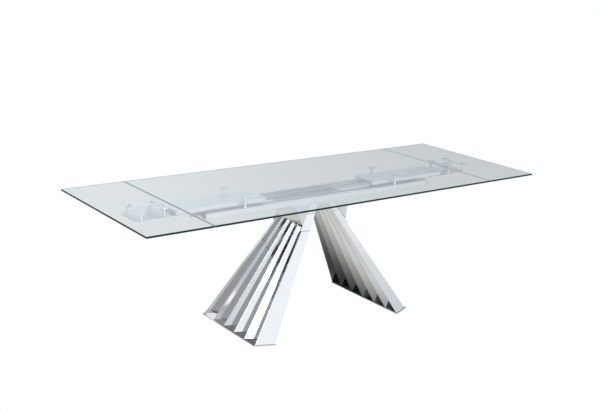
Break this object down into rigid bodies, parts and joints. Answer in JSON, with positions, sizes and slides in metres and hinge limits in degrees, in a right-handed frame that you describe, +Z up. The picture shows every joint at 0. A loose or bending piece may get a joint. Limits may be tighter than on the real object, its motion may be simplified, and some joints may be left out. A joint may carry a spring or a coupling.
{
  "type": "extending dining table",
  "caption": "Extending dining table with a glass top, sliding glass leaves at both ends and a pair of pleated mirror-steel legs.",
  "frame": {"origin": "on the floor under the middle of the top", "axes": "+X along the length of the table, +Y across it, +Z up"},
  "size_m": [2.5, 0.9, 0.76],
  "materials": {
    "clear_glass": "polished tempered glass with ground edges",
    "mirror_steel": "mirror polished stainless steel",
    "chrome_fitting": "polished chrome",
    "satin_steel": "satin silver",
    "cap_plastic": "moulded black",
    "pad_rubber": "matt black"
  },
  "bodies": {
    "root": {"back_rail": "satin_steel", "back_slide_channel": "satin_steel", "crown_bolts": "chrome_fitting", "front_rail": "satin_steel", "front_slide_channel": "satin_steel", "left_back_disc": "chrome_fitting", "left_back_post": "chrome_fitting", "left_crown": "mirror_steel", "left_fin_1": "mirror_steel", "left_fin_2": "mirror_steel", "left_fin_3": "mirror_steel", "left_fin_4": "mirror_steel", "left_fin_5": "mirror_steel", "left_fin_6": "mirror_steel", "left_floor_pads": "pad_rubber", "left_floor_plate": "mirror_steel", "left_front_disc": "chrome_fitting", "left_front_post": "chrome_fitting", "left_leg_cap": "mirror_steel", "left_tie_plate": "satin_steel", "main_glass": "clear_glass", "mounting_plate": "satin_steel", "rail_caps": "cap_plastic", "right_back_disc": "chrome_fitting", "right_back_post": "chrome_fitting", "right_crown": "mirror_steel", "right_fin_1": "mirror_steel", "right_fin_2": "mirror_steel", "right_fin_3": "mirror_steel", "right_fin_4": "mirror_steel", "right_fin_5": "mirror_steel", "right_fin_6": "mirror_steel", "right_floor_pads": "pad_rubber", "right_floor_plate": "mirror_steel", "right_front_disc": "chrome_fitting", "right_front_post": "chrome_fitting", "right_leg_cap": "mirror_steel", "right_tie_plate": "satin_steel"},
    "left_carriage": {"left_back_runner": "satin_steel", "left_carriage_bolts": "chrome_fitting", "left_carriage_cover": "satin_steel", "left_carriage_plate": "satin_steel", "left_front_runner": "satin_steel", "left_lift_plate": "satin_steel", "left_post_guides": "chrome_fitting"},
    "left_leaf": {"left_leaf_brace": "satin_steel", "left_leaf_discs": "chrome_fitting", "left_leaf_glass": "clear_glass", "left_leaf_posts": "chrome_fitting"},
    "right_carriage": {"right_back_runner": "satin_steel", "right_carriage_bolts": "chrome_fitting", "right_carriage_cover": "satin_steel", "right_carriage_plate": "satin_steel", "right_front_runner": "satin_steel", "right_lift_plate": "satin_steel", "right_post_guides": "chrome_fitting"},
    "right_leaf": {"right_leaf_brace": "satin_steel", "right_leaf_discs": "chrome_fitting", "right_leaf_glass": "clear_glass", "right_leaf_posts": "chrome_fitting"}
  },
  "joints": [
    {"name": "right_carriage_slide", "type": "slide", "parent": "root", "child": "right_carriage", "axis": [1, 0, 0], "range_m": [0, 0.02]},
    {"name": "right_leaf_drop", "type": "slide", "parent": "right_carriage", "child": "right_leaf", "axis": [0, 0, -1], "range_m": [0, 0.024]},
    {"name": "left_carriage_slide", "type": "slide", "parent": "root", "child": "left_carriage", "axis": [-1, 0, 0], "range_m": [0, 0.02]},
    {"name": "left_leaf_drop", "type": "slide", "parent": "left_carriage", "child": "left_leaf", "axis": [0, 0, -1], "range_m": [0, 0.024]}
  ]
}
